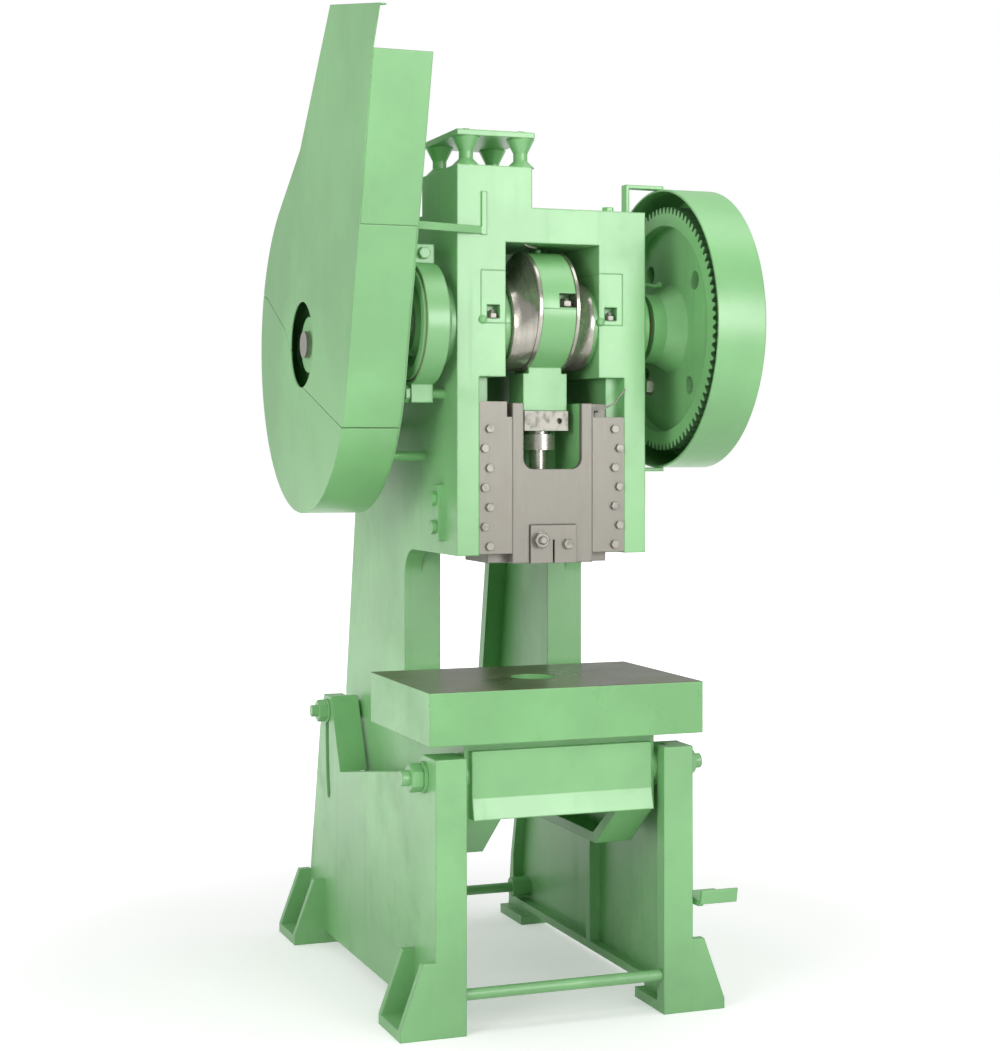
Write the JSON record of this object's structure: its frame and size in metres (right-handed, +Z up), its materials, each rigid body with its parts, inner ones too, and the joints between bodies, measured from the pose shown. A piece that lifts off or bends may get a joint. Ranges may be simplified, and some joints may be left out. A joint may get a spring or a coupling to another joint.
{
  "type": "geared inclinable power press",
  "caption": "Open-back inclinable stamping press: a C-frame on two stands, geared crank, ball-screw connecting rod, guided ram, flywheel, band brake and treadle clutch.",
  "frame": {"origin": "middle of the four anchor holes, on the floor", "axes": "+X to the operator's right, +Y from front to back, +Z up"},
  "size_m": [0.834, 1.128, 2.131],
  "materials": {
    "green_paint": "semi-gloss",
    "bare_iron": "machined",
    "bright_steel": "turned",
    "oiled_bolster": "ground and oiled",
    "dark_fastener": "blackened",
    "bronze": "bored",
    "brake_lining": "woven"
  },
  "bodies": {
    "stand": {"left_leg": "green_paint", "right_leg": "green_paint", "front_tie_rod": "green_paint", "rear_tie_rod": "green_paint", "pivot_bolts": "bright_steel", "pivot_washers": "bright_steel", "pivot_nuts": "bright_steel", "pedal_bracket": "green_paint"},
    "crank": {"crankshaft": "bright_steel", "brake_drum": "bright_steel", "gear_collar": "bright_steel"},
    "rod": {"connecting_rod": "green_paint", "rod_cap": "green_paint", "pin_bush": "bronze", "rod_studs": "bright_steel", "ball_screw": "bright_steel", "lock_nut": "bright_steel"},
    "ram": {"ram": "bare_iron", "ball_retainer": "bare_iron", "tool_clamp": "bare_iron", "tool_clamp_studs": "bright_steel"},
    "gear": {"main_gear": "green_paint", "gear_bush": "bronze"},
    "back_shaft": {"back_shaft": "bright_steel", "pinion": "bright_steel", "flywheel": "green_paint"},
    "latch": {"clutch_latch": "green_paint"},
    "pull_rod": {"pull_rod": "bright_steel"},
    "pedal": {"pedal": "green_paint"},
    "tilting_frame": {"belt_guard_back": "green_paint", "belt_guard_lower_cover": "green_paint", "belt_guard_upper_cover": "green_paint", "bolster_bolts": "dark_fastener", "bolster_plate": "oiled_bolster", "brake_anchor_pin": "dark_fastener", "brake_band": "green_paint", "brake_bolt": "dark_fastener", "brake_lining": "brake_lining", "brake_spring": "bright_steel", "cap_studs": "bright_steel", "clamp_bolts": "bright_steel", "clamp_nuts": "bright_steel", "frame_casting": "green_paint", "frame_screws": "bright_steel", "gear_cover": "green_paint", "gib_oil_pipe": "bright_steel", "gib_screws": "bright_steel", "guard_strap": "green_paint", "hub_oil_pipe": "bright_steel", "latch_pin": "dark_fastener", "left_bearing_cap": "green_paint", "left_gib": "bare_iron", "lower_cover_arm": "green_paint", "main_bushes": "bronze", "motor_plate": "green_paint", "right_bearing_cap": "green_paint", "right_gib": "bare_iron", "shaft_bushes": "bronze", "upper_cover_arm": "green_paint"}
  },
  "joints": [
    {"name": "frame_tilt", "type": "hinge", "parent": "stand", "child": "tilting_frame", "pos_m": [0, -0.42, 0.52], "axis": [-1, 0, 0], "range_deg": [0, 15]},
    {"name": "crank_turn", "type": "hinge", "parent": "tilting_frame", "child": "crank", "pos_m": [0, -0.328, 1.459], "axis": [1, 0, 0], "range_deg": [0, 180]},
    {"name": "big_end", "type": "hinge", "parent": "crank", "child": "rod", "pos_m": [0, -0.328, 1.489], "axis": [1, 0, 0], "range_deg": [-180, 0]},
    {"name": "ram_slide", "type": "slide", "parent": "tilting_frame", "child": "ram", "axis": [0, 0, 1], "range_m": [-0.06, 0]},
    {"name": "gear_spin", "type": "hinge", "parent": "tilting_frame", "child": "gear", "pos_m": [0, -0.328, 1.459], "axis": [1, 0, 0], "continuous": true},
    {"name": "back_shaft_spin", "type": "hinge", "parent": "tilting_frame", "child": "back_shaft", "pos_m": [0, -0.0268, 1.426], "axis": [1, 0, 0], "continuous": true},
    {"name": "pedal_press", "type": "hinge", "parent": "stand", "child": "pedal", "pos_m": [0, 0.292, 0.2], "axis": [1, 0, 0], "range_deg": [0, 5], "stiffness_Nm_per_rad": 120, "springref_deg": -28.65},
    {"name": "latch_swing", "type": "hinge", "parent": "tilting_frame", "child": "latch", "pos_m": [0, -0.37, 1.33], "axis": [-1, 0, 0], "range_deg": [0, 2.21]},
    {"name": "pull_rod_pin", "type": "hinge", "parent": "latch", "child": "pull_rod", "pos_m": [0.25, 0.092, 1.33], "axis": [-1, 0, 0], "range_deg": [-2.21, 0]}
  ],
  "couplings": [
    {"joint": "big_end", "follows": "crank_turn", "ratio": -1},
    {"joint": "ram_slide", "follows": "crank_turn", "m_per_rad": -0.019099},
    {"joint": "back_shaft_spin", "follows": "gear_spin", "ratio": -6.2143},
    {"joint": "latch_swing", "follows": "pedal_press", "ratio": 0.4329},
    {"joint": "pull_rod_pin", "follows": "pedal_press", "ratio": -0.4329}
  ]
}
